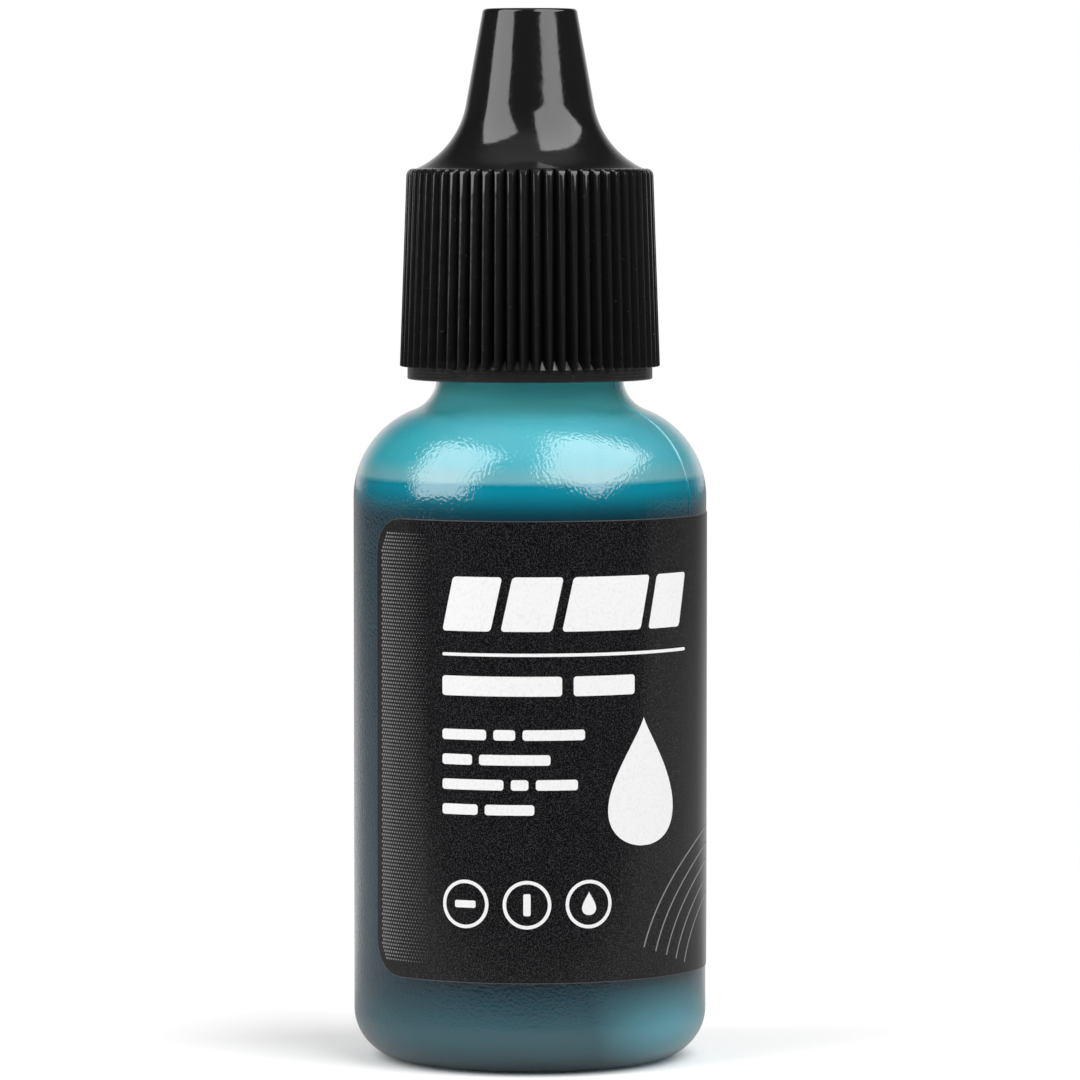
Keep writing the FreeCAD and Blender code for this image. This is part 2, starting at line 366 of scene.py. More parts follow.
def inside_section(sizes, offset, steps=16):
    """Hollow of the bottle from the middle of its floor up to the root of the bore, moved outwards by an
    offset."""
    radius = sizes.body_radius - sizes.wall + offset
    floor = sizes.floor - offset
    corner = sizes.heel_radius - sizes.wall + offset
    foot_inner = sizes.body_radius - sizes.heel_radius - sizes.foot_width
    convex = sizes.shoulder_radius - sizes.wall + offset
    concave = sizes.fillet_radius + sizes.wall - offset
    lower, upper, throat = ogee(radius, sizes.bore_radius + offset, convex, concave, sizes.straight, steps)
    heel = arc_run((radius - corner, floor + corner), corner, -math.pi / 2, 0.0, steps)
    section = join_runs(dome_run(foot_inner, floor, sizes.pushup, 8), heel, lower, upper)
    return section, throat


def bottle_grid(sizes):
    """Skin of the bottle: up the outside, over the rim and down the inside. The neck carries a thread
    ridge. The shoulder and the base carry a narrow ridge exp(-(d/w)^2) over the distance d from the
    mould's parting plane, with columns close together beside it."""
    heel_centre = (sizes.body_radius - sizes.heel_radius, sizes.heel_radius)
    foot_inner = heel_centre[0] - sizes.foot_width
    lower, upper, root = ogee(
        sizes.body_radius, sizes.neck_radius, sizes.shoulder_radius, sizes.fillet_radius, sizes.straight, 32
    )
    neck_top = sizes.height - sizes.rim_round
    lip_low = sizes.height - sizes.lip_round
    outside = join_runs(
        dome_run(foot_inner, 0.0, sizes.pushup, 12),
        line_run((foot_inner, 0.0), (heel_centre[0], 0.0), 3),
        arc_run(heel_centre, sizes.heel_radius, -math.pi / 2, 0.0, 20),
        line_run((sizes.body_radius, sizes.heel_radius), (sizes.body_radius, sizes.straight), 12),
        lower,
        upper,
        line_run((sizes.neck_radius, root), (sizes.neck_radius, neck_top), 100),
        arc_run((sizes.neck_radius - sizes.rim_round, neck_top), sizes.rim_round, 0.0, math.pi / 2, 4),
    )
    lip = arc_run((sizes.bore_radius + sizes.lip_round, lip_low), sizes.lip_round, math.pi / 2, math.pi, 4)
    inside, throat = inside_section(sizes, 0.0)
    bore = line_run((sizes.bore_radius, lip_low), (sizes.bore_radius, throat), 6)
    section = join_runs(outside, lip, bore, inside[::-1])
    beside = np.array([0.03, 0.07, 0.13, 0.20, 0.30]) * MM / sizes.body_radius
    beside = np.concatenate((-beside[::-1], beside))
    seams = sizes.seam_azimuth + np.array([[0.0], [math.pi]]) + beside[None, :]
    azimuths = np.unique(np.round(np.concatenate((even_azimuths(264), seams.ravel() % FULL_TURN)), 6))
    radius = np.repeat(section[:, :1], len(azimuths), axis=1)
    height = np.repeat(section[:, 1:], len(azimuths), axis=1)
    outer = (np.arange(len(section)) < len(outside))[:, None]
    apart = radius * np.abs(np.sin(azimuths - sizes.seam_azimuth))[None, :]
    on_shoulder = smooth_step(-0.9 * MM, -0.3 * MM, height - sizes.straight) * (height < root)
    in_foot = 1 - smooth_step(foot_inner - 1.2 * MM, foot_inner - 0.2 * MM, radius)
    on_base = in_foot * (height < sizes.pushup * 1.01)
    ridge = sizes.seam_height * np.exp(-((apart / sizes.seam_width) ** 2)) * outer
    ridge = ridge * np.maximum(on_shoulder, on_base)
    along = np.gradient(section, axis=0)
    along = along / np.linalg.norm(along, axis=1, keepdims=True)
    thread_top, turns, thread_width = sizes.height - sizes.thread_drop, 1.6, 1.5 * MM
    screw = thread_ridge(azimuths[None, :], height, thread_top, sizes.thread_pitch, turns, thread_width)
    on_neck = outer * (section[:, :1] > sizes.neck_radius - SAME) * (height > root + 1.0 * MM)
    radius = radius + ridge * along[:, 1:] + sizes.thread_depth * screw * on_neck
    return around(radius, azimuths[None, :], height - ridge * along[:, :1])


class BOTTLE_OT_bottle(bpy.types.Operator):
    """Builds the bottle's shell"""

    bl_idname = "dropper_bottle.bottle"
    bl_label = "Bottle"

    def execute(self, context):
        piece = lathe_piece("bottle_shell", bottle_grid(settings().bottle), natural_polyethylene())
        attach(piece, "bottle")
        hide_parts("bottle")
        return {"FINISHED"}


def fill_section(sizes):
    """The liquid: the hollow of the bottle up to the level, where the surface climbs the wall by an
    exponential meniscus, and the level plane back to the axis."""
    overlap, climb = 0.02 * MM, 0.33 * MM
    meniscus_reach, meniscus_fall = 3.0 * MM, 0.45 * MM
    level = FILL_HIGH[2] - 0.35 * MM
    hollow, _ = inside_section(sizes, overlap, 24)
    below = hollow[hollow[:, 1] < level + climb]
    edge = below[-1, 0]
    inwards = np.linspace(0.0, 1.0, 13)[1:] ** 2 * meniscus_reach
    meniscus = np.stack((edge - inwards, level + climb * np.exp(-inwards / meniscus_fall)), axis=1)
    return join_runs(below, meniscus, np.array([[edge * 0.4, level], [0.0, level]]))


def lining_section(sizes):
    """Thin lining of liquid on the wall over the level: the hollow's section, and the same section moved
    inwards, joined to a loop."""
    overlap, thickness = 0.015 * MM, 0.08 * MM
    bottom = FILL_HIGH[2] - 0.2 * MM
    top = PLUG_LOW[2] - 0.2 * MM
    outer, _ = inside_section(sizes, overlap, 32)
    inner, _ = inside_section(sizes, -thickness, 32)
    outer = join_runs(outer[outer[:, 1] > bottom], np.array([[outer[-1, 0], top]]))
    inner = join_runs(inner[inner[:, 1] > bottom], np.array([[inner[-1, 0], top]]))
    return join_runs(outer, inner[::-1])


class BOTTLE_OT_liquid(bpy.types.Operator):
    """Builds the liquid and the lining that it leaves on the wall above its level"""

    bl_idname = "dropper_bottle.liquid"
    bl_label = "Liquid"

    def execute(self, context):
        sizes = settings().bottle
        azimuths = even_azimuths(192)
        piece = lathe_piece("lube_fill_body", turned(fill_section(sizes), azimuths), teal_lube())
        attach(piece, "bottle")
        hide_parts("lube_fill")
        lining = turned(lining_section(sizes), azimuths)
        piece = lathe_piece("lube_lining", lining, wetted_wall(), looped=True)
        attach(piece, "bottle")
        return {"FINISHED"}


def plug_section(sizes, bore_radius):
    """The dropper plug: skirt with two beads, flange on the neck's rim, tapered nozzle with a drop cup,
    orifice and hollow inside. Each row is a corner and the radius of its round in millimetres."""
    bottom, tip = PLUG_LOW[2], PLUG_HIGH[2]
    seat = bottom + sizes.seat
    rim = seat - sizes.flange
    skirt = bore_radius - sizes.skirt_gap
    inner = skirt - sizes.wall
    cup_floor = tip - sizes.cup_depth
    bore_top = cup_floor - sizes.orifice_length
    slope = (sizes.nozzle_low - sizes.nozzle_high) / (tip - seat)
    hollow_high = sizes.nozzle_low - slope * (bore_top - seat) - sizes.wall
    rows = [(inner, bottom, 0.2), (skirt, bottom, 0.3)]
    for middle in (bottom + 2.0 * MM, bottom + 4.0 * MM):
        rows += [
            (skirt, middle - sizes.bead_reach, 0.5),
            (skirt + sizes.bead, middle, 0.5),
            (skirt, middle + sizes.bead_reach, 0.5),
        ]
    rows += [
        (skirt, rim, 0.1),
        (sizes.flange_radius, rim, 0.15),
        (sizes.flange_radius, seat, 0.25),
        (sizes.nozzle_low, seat, 0.3),
        (sizes.nozzle_high, tip, 0.3),
        (sizes.cup_radius, tip, 0.15),
        (sizes.orifice, cup_floor, 0.1),
        (sizes.orifice, bore_top, 0.05),
        (hollow_high, bore_top, 0.2),
        (sizes.nozzle_low - sizes.wall, seat, 0.2),
        (inner, rim, 0.2),
    ]
    joint = (inner, bottom + 0.5 * MM)
    corners = [joint, *(row[:2] for row in rows), joint]
    return rounded_run(corners, [row[2] * MM for row in rows])[:-1]


class BOTTLE_OT_plug(bpy.types.Operator):
    """Builds the dropper plug in the neck"""

    bl_idname = "dropper_bottle.plug"
    bl_label = "Dropper plug"

    def execute(self, context):
        section = plug_section(settings().plug, settings().bottle.bore_radius)
        grid = turned(section, even_azimuths(144))
        piece = lathe_piece("dropper_nozzle", grid, milky_polyethylene(), looped=True)
        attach(piece, "bottle")
        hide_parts("dropper_plug")
        return {"FINISHED"}


def rib_columns(sizes, height):
    """Azimuths and radii of the cap's columns, row by row. In each pitch a flank rises from the valley by
    1 / tan(half groove angle) for each unit along the skirt, and the crest between two flanks falls off
    with the fourth power of the distance from its middle. Columns stand at the valley, on the flank, at the
    crest's edge, at three places on the crest and at its middle, and mirrored on the other side. At a
    groove's lower end the flank's column follows the line where the ramp meets the flank."""
    low = sizes.mouth + sizes.band_height
    share = np.clip((height - low) / (sizes.rib_top - low), 0.0, 1.0)
    crest = sizes.crest_low + (sizes.crest_high - sizes.crest_low) * share
    valley = sizes.valley_low + (sizes.valley_high - sizes.valley_low) * share
    ramp = sizes.band_radius - (height - low) / sizes.runout * (sizes.band_radius - sizes.valley_low)
    slope = math.tan(sizes.groove_angle / 2) / crest
    half = math.pi / sizes.rib_count
    crown = np.minimum(0.1 * MM, 0.6 * (half - (crest - valley) * slope) * crest)
    edge = (crest - crown - valley) * slope
    on_ramp = np.clip((ramp - valley) * slope, 0.04 * edge, 0.9 * edge)
    flank = np.where(height < low + sizes.runout, on_ramp, 0.5 * edge)
    rise = half - edge
    on_crest = [edge + part * rise for part in (0.16, 0.34, 0.58, 1.0)]
    across = np.stack([0 * edge, flank, edge, *on_crest], axis=-1)
    radius = np.minimum(
        valley[:, None] + across / slope[:, None],
        crest[:, None] - crown[:, None] * np.minimum((half - across) / rise[:, None], 1.0) ** 4,
    )
    across = np.concatenate((across, 2 * half - across[:, -2:0:-1]), axis=1)
    radius = np.concatenate((radius, radius[:, -2:0:-1]), axis=1)
    starts = 2 * half * np.arange(sizes.rib_count)
    azimuth = (starts[None, :, None] + across[:, None, :]).reshape(len(height), -1)
    outline = np.maximum(np.tile(radius, (1, sizes.rib_count)), ramp[:, None])
    return azimuth, outline


def spout_run(sizes):
    """Flare, taper, rounded tip and dish of the spout: the flare's circle touches the taper line and passes
    through the base edge, so its centre lies one radius from both."""
    round_low = sizes.tip - sizes.tip_round
    along = np.array([math.sin(sizes.taper), -math.cos(sizes.taper)])
    outward = np.array([math.cos(sizes.taper), math.sin(sizes.taper)])
    line_top = np.array([sizes.spout_tip, round_low])
    base = np.array([sizes.spout_base, sizes.rib_top])
    gap = line_top + sizes.flare * outward - base
    reach = gap @ along
    slide = -reach - math.sqrt(reach**2 - gap @ gap + sizes.flare**2)
    centre = base + gap + slide * along
    start = math.atan2(*(base - centre)[::-1]) % FULL_TURN
    flare = arc_run(centre, sizes.flare, start, math.pi + sizes.taper, 30)
    tip = arc_run((sizes.spout_tip - sizes.tip_round, round_low), sizes.tip_round, 0.0, math.pi / 2, 6)
    dish_rings = np.array([[1.5, 0.0], [1.1, -0.12], [0.5, -0.15]]) * MM + (0.0, sizes.tip)
    return join_runs(flare, line_run(flare[-1], line_top, 14), tip, dish_rings)


def cap_outside(sizes):
    """Outside of the cap, from the middle of its mouth edge to the dish in its tip. Below and above the
    ribs it is a surface of revolution, with three fine turned lines on the band. Along the ribs the radius
    is the rib outline, eased in at the crests' lower ends, never under the ramp at the grooves' lower ends
    and never over the round at the crests' upper ends."""
    low = sizes.mouth + sizes.band_height
    ease, line_depth, lip_width = 0.09 * MM, 0.0025 * MM, 0.75 * MM
    band_heights = np.linspace(sizes.mouth + ease, low - 0.02 * MM, 17)[1:]
    lines = line_depth * np.sin(np.linspace(0.0, 3 * FULL_TURN, len(band_heights)))
    below = join_runs(
        np.array([[sizes.band_radius - lip_width, sizes.mouth]]),
        arc_run((sizes.band_radius - ease, sizes.mouth + ease), ease, -math.pi / 2, 0.0, 4),
        np.stack((sizes.band_radius + np.minimum(lines, 0.0), band_heights), axis=1),
    )
    round_start = sizes.rib_top - sizes.crest_round
    foot = low + np.array([0.0, 0.012, 0.045, 0.09]) * MM
    ramp_heights = np.linspace(low + 0.16 * MM, low + sizes.runout + 0.02 * MM, 7)
    plain = np.linspace(ramp_heights[-1] + 0.4 * MM, round_start, 10)
    lean = np.linspace(0.0, math.pi / 2, 9)[1:]
    rounded = round_start + sizes.crest_round * np.sin(lean)
    heights = np.concatenate((foot, ramp_heights, plain, rounded))
    azimuth, outline = rib_columns(sizes, heights)
    ceiling = np.full(len(heights), np.inf)
    ceiling[-len(lean):] = sizes.crest_high - sizes.crest_round * (1 - np.cos(lean))
    foot_ease = np.zeros(len(heights))
    foot_ease[:3] = np.array([1.0, 0.09, 0.026]) * MM
    ribs = np.where(outline > sizes.band_radius, outline - foot_ease[:, None], outline)
    ribs = np.minimum(np.maximum(ribs, np.minimum(outline, sizes.band_radius)), ceiling[:, None])
    ribs[-1] = np.maximum(ribs[-1], sizes.spout_base + 0.02 * MM)
    heights[-1] -= 0.004 * MM
    above = spout_run(sizes)
    low_azimuth = np.repeat(azimuth[:1], len(below), axis=0)
    high_azimuth = np.repeat(azimuth[-1:], len(above), axis=0)
    return np.concatenate((
        around(below[:, :1], low_azimuth, below[:, 1:]),
        around(ribs, azimuth, heights[:, None]),
        around(above[:, :1], high_azimuth, above[:, 1:]),
    ))


def cap_inside(sizes, azimuths):
    """Inside of the cap, from the end of its sealing pin to its mouth, with a thread ridge that stands in
    from the bore between the turns of the neck's thread."""
    seat = PLUG_HIGH[2] - 10.36 * MM
    ceiling = PLUG_HIGH[2] + 0.35 * MM
    pin, pin_low, chamfer = 0.5 * MM, ceiling - 1.0 * MM, 0.3 * MM
    cavity_low, cavity_high = 4.5 * MM, 2.3 * MM
    skirt_top = (sizes.bore_radius, seat - 1.0 * MM)
    skirt_low = (sizes.bore_radius, sizes.mouth + chamfer)
    corners = [(0.0, pin_low), (pin, pin_low), (pin, ceiling), (cavity_high, ceiling)]
    corners += [(cavity_low, seat), (sizes.bore_radius, seat), skirt_top]
    radii = [0.2 * MM, 0.1 * MM, 0.3 * MM, 0.2 * MM, 0.3 * MM]
    section = join_runs(
        rounded_run(corners, radii, 3),
        line_run(skirt_top, skirt_low, 110),
        line_run(skirt_low, (sizes.bore_radius + chamfer, sizes.mouth)),
    )
    bottle = settings().bottle
    thread_top = bottle.height - bottle.thread_drop - bottle.thread_pitch / 2
    turns, thread_width = 2.4, 1.0 * MM
    height = np.repeat(section[:, 1:], len(azimuths), axis=1)
    screw = thread_ridge(azimuths[None, :], height, thread_top, bottle.thread_pitch, turns, thread_width)
    on_bore = (section[:, :1] > sizes.bore_radius - SAME) & (section[:, 1:] < skirt_top[1])
    radius = section[:, :1] - sizes.thread_depth * screw * on_bore
    return around(radius, azimuths[None, :], section[:, 1:])


def cap_polygons(inside_rows, outside_rows, few, many):
    """Quads of both grids, fans at the two poles, and on the mouth edge a strip where each step of the
    inner ring meets six steps of the outer one."""
    first_out = 1 + (inside_rows - 1) * few
    last_ring = first_out + (outside_rows - 1) * many
    inner = 1 + (inside_rows - 2) * few + np.arange(few)
    inner_next = np.roll(inner, -1)
    outer = first_out + np.arange(many)
    around_outer = [np.roll(outer, -step)[::6] for step in range(7)]
    strip = [(inner, around_outer[step + 1], around_outer[step]) for step in (0, 1, 2)]
    strip += [(inner, inner_next, around_outer[3])]
    strip += [(inner_next, around_outer[step + 1], around_outer[step]) for step in (3, 4, 5)]
    return [
        fan(1 + np.arange(few), 0, True),
        grid_quads(inside_rows - 1, few, first=1),
        np.concatenate([np.stack(corners, axis=1) for corners in strip]),
        grid_quads(outside_rows, many, first=first_out),
        fan(last_ring + np.arange(many), last_ring + many, False),
    ]


class BOTTLE_OT_cap(bpy.types.Operator):
    """Builds the ribbed screw cap with its spout"""

    bl_idname = "dropper_bottle.cap"
    bl_label = "Screw cap"

    def execute(self, context):
        sizes = settings().cap
        outside = cap_outside(sizes)
        first_row, _ = rib_columns(sizes, np.array([sizes.mouth]))
        inside = cap_inside(sizes, first_row[0, ::RIB_COLUMNS // 2])
        tip = np.array([[0.0, 0.0, sizes.tip - sizes.dish]])
        vertices = np.concatenate((inside[0, :1], inside[1:].reshape(-1, 3), outside.reshape(-1, 3), tip))
        polygons = cap_polygons(len(inside), len(outside), inside.shape[1], outside.shape[1])
        piece = mesh_piece("ribbed_cap", vertices, polygons, black_cap(), sharp=32.0)
        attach(piece, "cap")
        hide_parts("screw_cap")
        return {"FINISHED"}


def slab(sizes, across, up, low, high, closed=False):
    """A closed patch of film wrapped on the bottle: the same grid of places (across from the label's left
    edge, up from its lower edge) at a high and a low radius, with a rim between the two."""
    rows, columns = across.shape
    azimuth = sizes.start + across / sizes.outer_radius
    faces = [around(np.full_like(across, radius), azimuth, sizes.bottom + up) for radius in (high, low)]
    vertices = np.concatenate([face.reshape(-1, 3) for face in faces])
    top = grid_quads(rows, columns, close_columns=closed)
    index = np.arange(rows * columns).reshape(rows, columns)
    if closed:
        loops = [np.append(index[0], index[0, 0]), np.append(index[-1], index[-1, 0])[::-1]]
    else:
        loops = [np.concatenate((index[0], index[1:, -1], index[-1, -2::-1], index[-2::-1, 0]))]
    under = rows * columns
    rims = [np.stack((loop[:-1] + under, loop[1:] + under, loop[1:], loop[:-1]), axis=1) for loop in loops]
    return vertices, np.concatenate([top, top[:, ::-1] + under] + rims)


def merged(parts):
    """One vertex array and one polygon array from several."""
    counts = np.cumsum([0] + [len(vertices) for vertices, _ in parts[:-1]])
    vertices = np.concatenate([vertices for vertices, _ in parts])
    return vertices, np.concatenate([polygons + first for (_, polygons), first in zip(parts, counts)])


def bar(left, bottom, width, height, corner, skew=0.0):
    """A bar with rounded corners: at a distance x < c from an end its edges draw in by
    c - sqrt(c^2 - (c - x)^2), and it leans sideways by skew for each unit up."""
    turnings = np.linspace(0.0, math.pi / 2, 6)
    end = corner * (1 - np.cos(turnings))
    inner = np.linspace(corner, width - corner, max(2, int(width / (0.4 * MM))))[1:-1]
    x = np.concatenate((end, inner, (width - end)[::-1]))
    x = x[np.concatenate(([True], np.diff(x) > SAME))]
    near = np.minimum(np.minimum(x, width - x), corner)
    inset = corner - np.sqrt(corner**2 - (corner - near) ** 2)
    share = np.linspace(-1.0, 1.0, 5)[:, None]
    up = bottom + height / 2 + share * (height / 2 - inset)[None, :]
    return left + x[None, :] + skew * (up - bottom), up


def drop(middle, centre, width, height):
    """A falling drop: half width sin t sin(t/2)^1.5 against height cos t, from its tip at t = 0."""
    t = np.linspace(0.10, math.pi - 0.07, 44)[::-1]
    half = np.sin(t) * np.sin(t / 2) ** 1.5
    half = half / half.max() * width / 2
    across = middle + half[:, None] * np.linspace(-1.0, 1.0, 13)[None, :]
    return across, np.repeat((centre + height / 2 * np.cos(t))[:, None], 13, axis=1)


def flat_ring(middle, centre, inner, outer):
    """A flat ring: radius from inner to outer at every angle of one turn."""
    angle = -even_azimuths(56)[None, :]
    radius = np.linspace(inner, outer, 2)[:, None]
    return middle + radius * np.cos(angle), centre + radius * np.sin(angle)


def arc_stripe(middle, centre, radius, width, start, end):
    """A narrow stripe along an arc, from one angle to another in degrees."""
    angle = np.radians(np.linspace(end, start, 60))[None, :]
    reach = radius + width * np.linspace(-0.5, 0.5, 2)[:, None]
    return middle + reach * np.cos(angle), centre + reach * np.sin(angle)


def film_patch(sizes, inset):
    """The whole label with its four rounded corners, drawn in by an inset."""
    width, height = sizes.wrap * sizes.outer_radius, sizes.top - sizes.bottom
    return bar(inset, inset, width - 2 * inset, height - 2 * inset, sizes.corner - inset)


def light_print(sizes, low, high):
    """The label's light print: leaning blocks over a rule, bars, dashes, one large drop and three small
    rings with a sign in each. Each row gives a height, a thickness, a corner radius, a lean and the start
    and width of its bars, in millimetres from the label's lower left corner."""
    margin = 6.4
    rows = (
        (24.0, 3.7, 0.25, 0.22, ((0.0, 3.5), (4.2, 3.5), (8.4, 5.9), (15.0, 3.2))),
        (22.3, 0.22, 0.1, 0.0, ((0.0, 19.0),)),
        (19.6, 1.35, 0.22, 0.0, ((0.0, 8.4), (9.2, 4.6))),
        (16.6, 0.72, 0.2, 0.0, ((0.0, 3.2), (3.7, 1.5), (5.7, 4.3))),
        (14.9, 0.72, 0.2, 0.0, ((0.0, 2.2), (2.7, 4.9))),
        (13.2, 0.72, 0.2, 0.0, ((0.0, 4.4), (4.9, 1.2), (6.6, 2.9))),
        (11.5, 0.72, 0.2, 0.0, ((0.0, 2.6), (3.1, 3.4))),
    )
    patches = [
        bar((margin + start) * MM, bottom * MM, width * MM, thickness * MM, corner * MM, lean)
        for bottom, thickness, corner, lean, bars in rows
        for start, width in bars
    ]
    patches += [
        drop(21.0 * MM, 13.6 * MM, 5.8 * MM, 8.8 * MM),
        bar(7.35 * MM, 5.15 * MM, 1.5 * MM, 0.5 * MM, 0.12 * MM),
        bar(12.15 * MM, 4.65 * MM, 0.5 * MM, 1.5 * MM, 0.12 * MM),
        drop(16.7 * MM, 5.45 * MM, 1.0 * MM, 1.6 * MM),
    ]
    rings = [flat_ring(middle * MM, 5.4 * MM, 1.42 * MM, 1.66 * MM) for middle in (8.1, 12.4, 16.7)]
    parts = [slab(sizes, *patch, low, high) for patch in patches]
    return merged(parts + [slab(sizes, *patch, low, high, True) for patch in rings])


def fine_lines(sizes, low, high):
    """Grey stripes that sweep up round the label's lower right, evenly spaced."""
    count, first, spacing = 5, 6.4 * MM, 1.15 * MM
    middle, centre, width = 31.5 * MM, -1.2 * MM, 0.11 * MM
    radii = first + spacing * np.arange(count)
    arcs = [arc_stripe(middle, centre, radius, width, 96.0, 162.0) for radius in radii]
    return merged([slab(sizes, *arc, low, high) for arc in arcs])


def dot_field(sizes, low, high):
    """Grey dots on a staggered grid along the label's left edge, whose radius falls with the distance from
    the edge. The field's corners are rounded as the label's are. Each dot is a six-sided prism."""
    pitch, smallest, fade = 0.25 * MM, 0.014 * MM, 6.0 * MM
    corner, margin, top_margin = 2.4 * MM, 0.5 * MM, 0.7 * MM
    film_height = sizes.top - sizes.bottom
    rows, columns = np.mgrid[0:118, 0:22]
    across = (columns + 0.5 * (rows % 2)) * pitch + 0.75 * MM
    up = rows * pitch + 1.2 * MM
    size = pitch * 0.42 * (1 - across / fade)
    past_side = np.maximum(corner + margin - across, 0.0)
    past_end = np.maximum(np.maximum(corner + margin - up, up - (film_height - corner - margin)), 0.0)
    in_corner = np.hypot(past_side, past_end) < corner
    kept = (size > smallest) & in_corner & (up < film_height - top_margin)
    across, up, size = across[kept][:, None], up[kept][:, None], size[kept][:, None]
    angle = even_azimuths(6)[None, :] + math.pi / 6
    azimuth = sizes.start + (across + size * np.cos(angle)) / sizes.outer_radius
    height = sizes.bottom + up + size * np.sin(angle)
    faces = np.stack([around(radius, azimuth, height) for radius in (high, low)], axis=1)
    index = np.arange(len(faces) * 12).reshape(-1, 2, 6)
    top, under = index[:, 0], index[:, 1]
    after_top, after_under = np.roll(top, -1, axis=1), np.roll(under, -1, axis=1)
    sides = np.stack((under, after_under, after_top, top), axis=-1).reshape(-1, 4)
    return faces.reshape(-1, 3), [top, under[:, ::-1], sides]


class BOTTLE_OT_label(bpy.types.Operator):
    """Builds the label film and the print on it"""

    bl_idname = "dropper_bottle.label"
    bl_label = "Label"

    def execute(self, context):
        sizes = settings().label
        colours = settings().colours
        face = sizes.outer_radius - sizes.ink
        vertices, quads = slab(sizes, *film_patch(sizes, 0.0), sizes.inner_radius, face)
        # Painted highlight: the film shows only as a thin light edge round the print.
        film = mesh_piece("label_film", vertices, [quads], ink("film_edge_painted_glint", colours.film_edge_painted_glint))
        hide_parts("label")
        low, high = face - sizes.ink / 2, sizes.outer_radius
        vertices, quads = slab(sizes, *film_patch(sizes, 0.06 * MM), low, high)
        black = mesh_piece("label_black_print", vertices, [quads], satin_film())
        low, high = high - sizes.ink / 2, high + sizes.ink
        white, grey = ink("white_ink", colours.white_ink), ink("grey_ink", colours.grey_ink)
        vertices, quads = light_print(sizes, low, high)
        pieces = [film, black, mesh_piece("label_light_print", vertices, [quads], white)]
        vertices, quads = fine_lines(sizes, low, high)
        pieces.append(mesh_piece("label_fine_lines", vertices, [quads], grey))
        vertices, polygons = dot_field(sizes, low, high)
        pieces.append(mesh_piece("label_dot_field", vertices, polygons, grey))
        for piece in pieces:
            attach(piece, "bottle")
        return {"FINISHED"}


def grey(level):
    """A grey of one level in red, green and blue."""
    return (level, level, level)


def finish(name, base, roughness, sockets=None):
    """A new node material with its shader, base colour, roughness and other sockets set."""
    material = bpy.data.materials.new(name)
    material.use_nodes = True
    shader = material.node_tree.nodes["Principled BSDF"]
    shader.inputs["Base Color"].default_value = (*base, 1.0)
    shader.inputs["Roughness"].default_value = roughness
    for socket, value in (sockets or {}).items():
        shader.inputs[socket].default_value = value
    return material, material.node_tree, shader


def place_of(tree, coordinates="Object"):
    """Texture coordinates of one kind."""
    return tree.nodes.new("ShaderNodeTexCoord").outputs[coordinates]


def axis_of(tree, vector, axis):
    """One of a vector's X, Y and Z."""
    split = tree.nodes.new("ShaderNodeSeparateXYZ")
    tree.links.new(vector, split.inputs["Vector"])
    return split.outputs[axis]


def vector_math(tree, operation, vector):
    """A Vector Math node with its first vector linked."""
    node = tree.nodes.new("ShaderNodeVectorMath")
    node.operation = operation
    tree.links.new(vector, node.inputs[0])
    return node


def noise(tree, scale, detail=2.0):
    """Noise over Object coordinates."""
    texture = tree.nodes.new("ShaderNodeTexNoise")
    texture.inputs["Scale"].default_value = scale
    texture.inputs["Detail"].default_value = detail
    tree.links.new(place_of(tree), texture.inputs["Vector"])
    return texture.outputs["Fac"]


def ranged(tree, value, low, high, to_low=0.0, to_high=1.0):
    """A value eased from one range to another and held at its ends."""
    node = tree.nodes.new("ShaderNodeMapRange")
    node.interpolation_type = "SMOOTHSTEP"
    tree.links.new(value, node.inputs["Value"])
    for socket, number in (("From Min", low), ("From Max", high), ("To Min", to_low), ("To Max", to_high)):
        node.inputs[socket].default_value = number
    return node.outputs["Result"]


def combined(tree, operation, first, second):
    """Two values put together by one operation of the Math node."""
    node = tree.nodes.new("ShaderNodeMath")
    node.operation = operation
    tree.links.new(first, node.inputs[0])
    tree.links.new(second, node.inputs[1])
    return node.outputs["Value"]


def mixed(tree, share, first, second):
    """Two colours mixed by a share; each colour is a socket or plain numbers."""
    node = tree.nodes.new("ShaderNodeMix")
    node.data_type = "RGBA"
    tree.links.new(share, node.inputs["Factor"])
    for socket, value in ((node.inputs[6], first), (node.inputs[7], second)):
        if isinstance(value, bpy.types.NodeSocket):
            tree.links.new(value, socket)
        else:
            socket.default_value = (*value, 1.0)
    return node.outputs[2]


def blended(tree, share, value, number):
    """A value blended into a plain number by a share."""
    node = tree.nodes.new("ShaderNodeMix")
    tree.links.new(share, node.inputs["Factor"])
    tree.links.new(value, node.inputs["A"])
    node.inputs["B"].default_value = number
    return node.outputs["Result"]


def bumped(tree, shader, height, depth):
    """Fine relief of a given depth in metres on the shader's normal, and the node that makes it."""
    node = tree.nodes.new("ShaderNodeBump")
    node.inputs["Strength"].default_value = 1.0
    node.inputs["Distance"].default_value = depth
    tree.links.new(height, node.inputs["Height"])
    tree.links.new(node.outputs["Normal"], shader.inputs["Normal"])
    return node


def height_share(tree, low, high):
    """0 at a low height and 1 at a high one, from the Object coordinate Z."""
    return ranged(tree, axis_of(tree, place_of(tree), "Z"), low, high)


